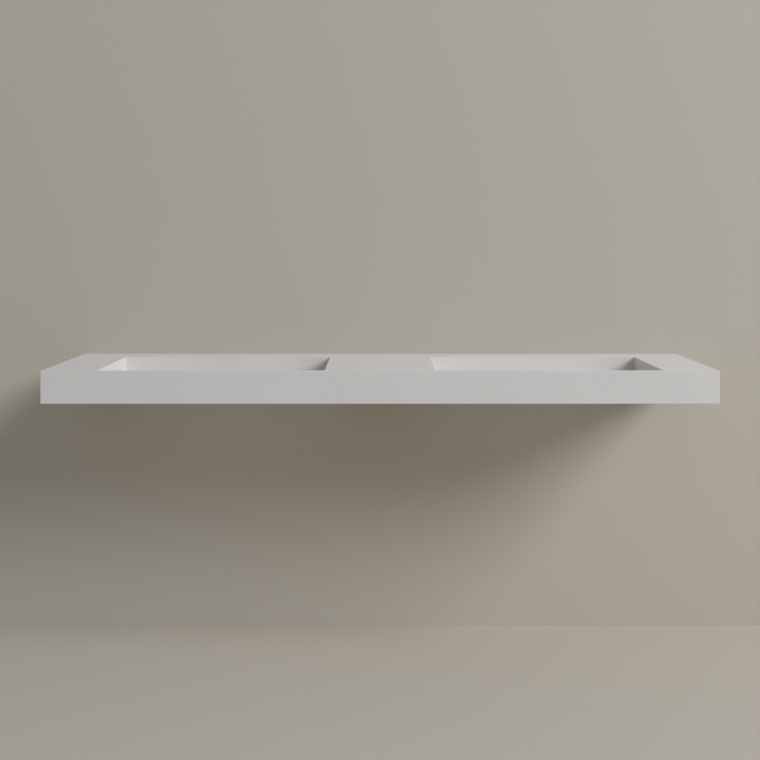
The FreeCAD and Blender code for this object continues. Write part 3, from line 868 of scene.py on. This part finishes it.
print(f"welds of {weld_leg * 1000:.1f} mm with a ripple each {ripple_length * 1000:.1f} mm")

# %% Welds on the brackets
bar_thickness = 0.006
arm_half_width = 0.025
stitch_length = 0.034
stitch_count = 4
web_tip_gap = 0.016
seeds_per_bracket = 11


def bracket_seams(low, high):
    """The seams of a bracket: both sides of the web up the plate and along the arm, and the arm's width."""
    centre = (low.x + high.x) / 2
    plate_front = -bar_thickness
    arm_under = high.z - bar_thickness
    web_foot = low.z + bar_thickness
    first_stitch = plate_front - 2 * weld_leg
    last_stitch = low.y + web_tip_gap + stitch_length
    seams = []
    for outward in (-right, right):
        x = centre + outward[0] * bar_thickness / 2
        seams.append(((x, plate_front, web_foot), (x, plate_front, arm_under - weld_leg), -back, outward))
        edge = centre + outward[0] * arm_half_width
        inner = x + outward[0] * weld_leg
        seams.append(((inner, plate_front, arm_under), (edge, plate_front, arm_under), -back, -up))
        for y in np.linspace(first_stitch, last_stitch, stitch_count):
            seams.append(((x, y, arm_under), (x, y - stitch_length, arm_under), outward, -up))
    return seams


for number, name in enumerate(n for n in nodes if n.endswith("_bracket")):
    first_seed = number * seeds_per_bracket
    welds = [weld(*seam, first_seed + i) for i, seam in enumerate(bracket_seams(*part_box(name)))]
    tubes_to_piece(f"{name}_welds", welds, finishes["bracket_steel"])

# %% [markdown]
# ## Threads on the drain barrels
# A lock nut runs up the barrel of each drain and leaves a few turns of thread bare below it. A
# thread is a radius that rises and falls along a helix: height over pitch, less the angle as a
# share of a turn, says where in the tooth a point lies. The ridge fades out at the foot, where
# the barrel is chamfered so that the nut starts easily.

# %% Bare turns of thread below the lock nuts
barrel_radius = 0.019
thread_pitch = 0.0019
thread_depth = 0.0007
thread_sink = 0.0004
thread_around = 96
thread_rows = 61
thread_lead = 0.0012
tooth_slope = 1.6
tooth_root = 0.25


def thread_sleeve(x, y, foot, top):
    """Rings of radius root + depth times tooth. The tooth rises and falls once a turn along the helix."""
    angle = np.linspace(0.0, 2 * math.pi, thread_around, endpoint=False)
    height = np.linspace(foot, top, thread_rows)
    place = np.mod(height[:, None] / thread_pitch - angle / (2 * math.pi), 1.0)
    tooth = np.clip(tooth_slope * (1 - np.abs(2 * place - 1)) - tooth_root, 0.0, 1.0)
    grown = np.clip((height[:, None] - foot) / thread_lead, 0.0, 1.0)
    outside = barrel_radius + (thread_depth * tooth + thread_sink) * grown - thread_sink
    inside = np.full((2, thread_around), barrel_radius - 2 * thread_sink)
    radius = np.concatenate([outside, inside])
    level = np.concatenate([height, [top, foot]])[:, None] + 0 * angle
    return np.stack([x + radius * np.cos(angle), y + radius * np.sin(angle), level], axis=-1)


for side in sides:
    nut = middle_of(f"{side}_lock_nut")
    nut_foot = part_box(f"{side}_lock_nut")[0].z
    barrel_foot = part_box(f"{side}_click_cartridge")[0].z
    sleeve = thread_sleeve(nut.x, nut.y, barrel_foot, nut_foot)
    tubes_to_piece(f"{side}_barrel_thread", [sleeve], finishes["drain_chrome"], True)

# %% [markdown]
# ## The return springs
# Inside each click cartridge a coil spring lifts the plug, and it shortens when the plug is pushed.
# A wire of the same size is wound here as a stiff piece, and the imported spring is hidden.
# The wire is a tube round a helix, whose climb is slow in the end turns, as a spring's closed ends are.

# %% Wound springs in place of the imported ones
spring_turns = 5.5
spring_wire_radius = 0.00045
wire_around = 10
steps_per_turn = 40
end_turn = 0.75
closed_share = 0.5
end_climb = 0.28


def coil_spring(low, high):
    """A wire round (R cos a, R sin a, z), where z adds up a climb that falls off in the end turns."""
    turn = np.linspace(0.0, spring_turns, int(spring_turns * steps_per_turn) + 1)
    from_end = np.minimum(turn, spring_turns - turn)
    opened = np.clip(from_end / end_turn - closed_share, 0.0, 1.0)
    climbed = np.cumsum(end_climb + (1 - end_climb) * opened)
    share = (climbed - climbed[0]) / (climbed[-1] - climbed[0])
    height = low.z + spring_wire_radius + share * (high.z - low.z - 2 * spring_wire_radius)
    radius = (high.x - low.x) / 2 - spring_wire_radius
    angle = 2 * math.pi * turn
    outward = np.stack([np.cos(angle), np.sin(angle), 0 * angle], axis=-1)
    centre = np.array([(low.x + high.x) / 2, (low.y + high.y) / 2, 0.0])
    path = centre + radius * outward + height[:, None] * up
    across = np.cross(np.gradient(path, axis=0), outward)
    across /= np.linalg.norm(across, axis=1, keepdims=True)
    t = np.linspace(0.0, 2 * math.pi, wire_around, endpoint=False)[:, None]
    ring = np.cos(t) * outward[:, None] + np.sin(t) * across[:, None]
    return path[:, None] + spring_wire_radius * ring


for side in sides:
    low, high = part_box(f"{side}_return_spring")
    wire = coil_spring(low, high)
    spring = tubes_to_piece(f"{side}_wound_spring", [wire], finishes["spring_steel"])
    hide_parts(f"{side}_return_spring")
    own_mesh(spring)

# %% [markdown]
# ## What each lamp lights
# Two lamps are told which pieces they reach, now that all of these are made. The glint lamp lights
# all but the matt sheets and their adhesive. The hidden-side lamp lights the pieces of the top, which
# alone stop its light, so that it shines through the stage.

# %% Links from the lamps to the pieces
whole_top = bpy.data.collections.new("whole_top")
glinting = bpy.data.collections.new("glinting")
matt_finishes = (finishes["solid_surface"], adhesive_finish)
for piece in [*nodes.values(), *made_pieces]:
    whole_top.objects.link(piece)
    if piece.active_material not in matt_finishes:
        glinting.objects.link(piece)
glint_lamp.light_linking.receiver_collection = glinting
hidden_side_lamp.light_linking.receiver_collection = whole_top
hidden_side_lamp.light_linking.blocker_collection = whole_top
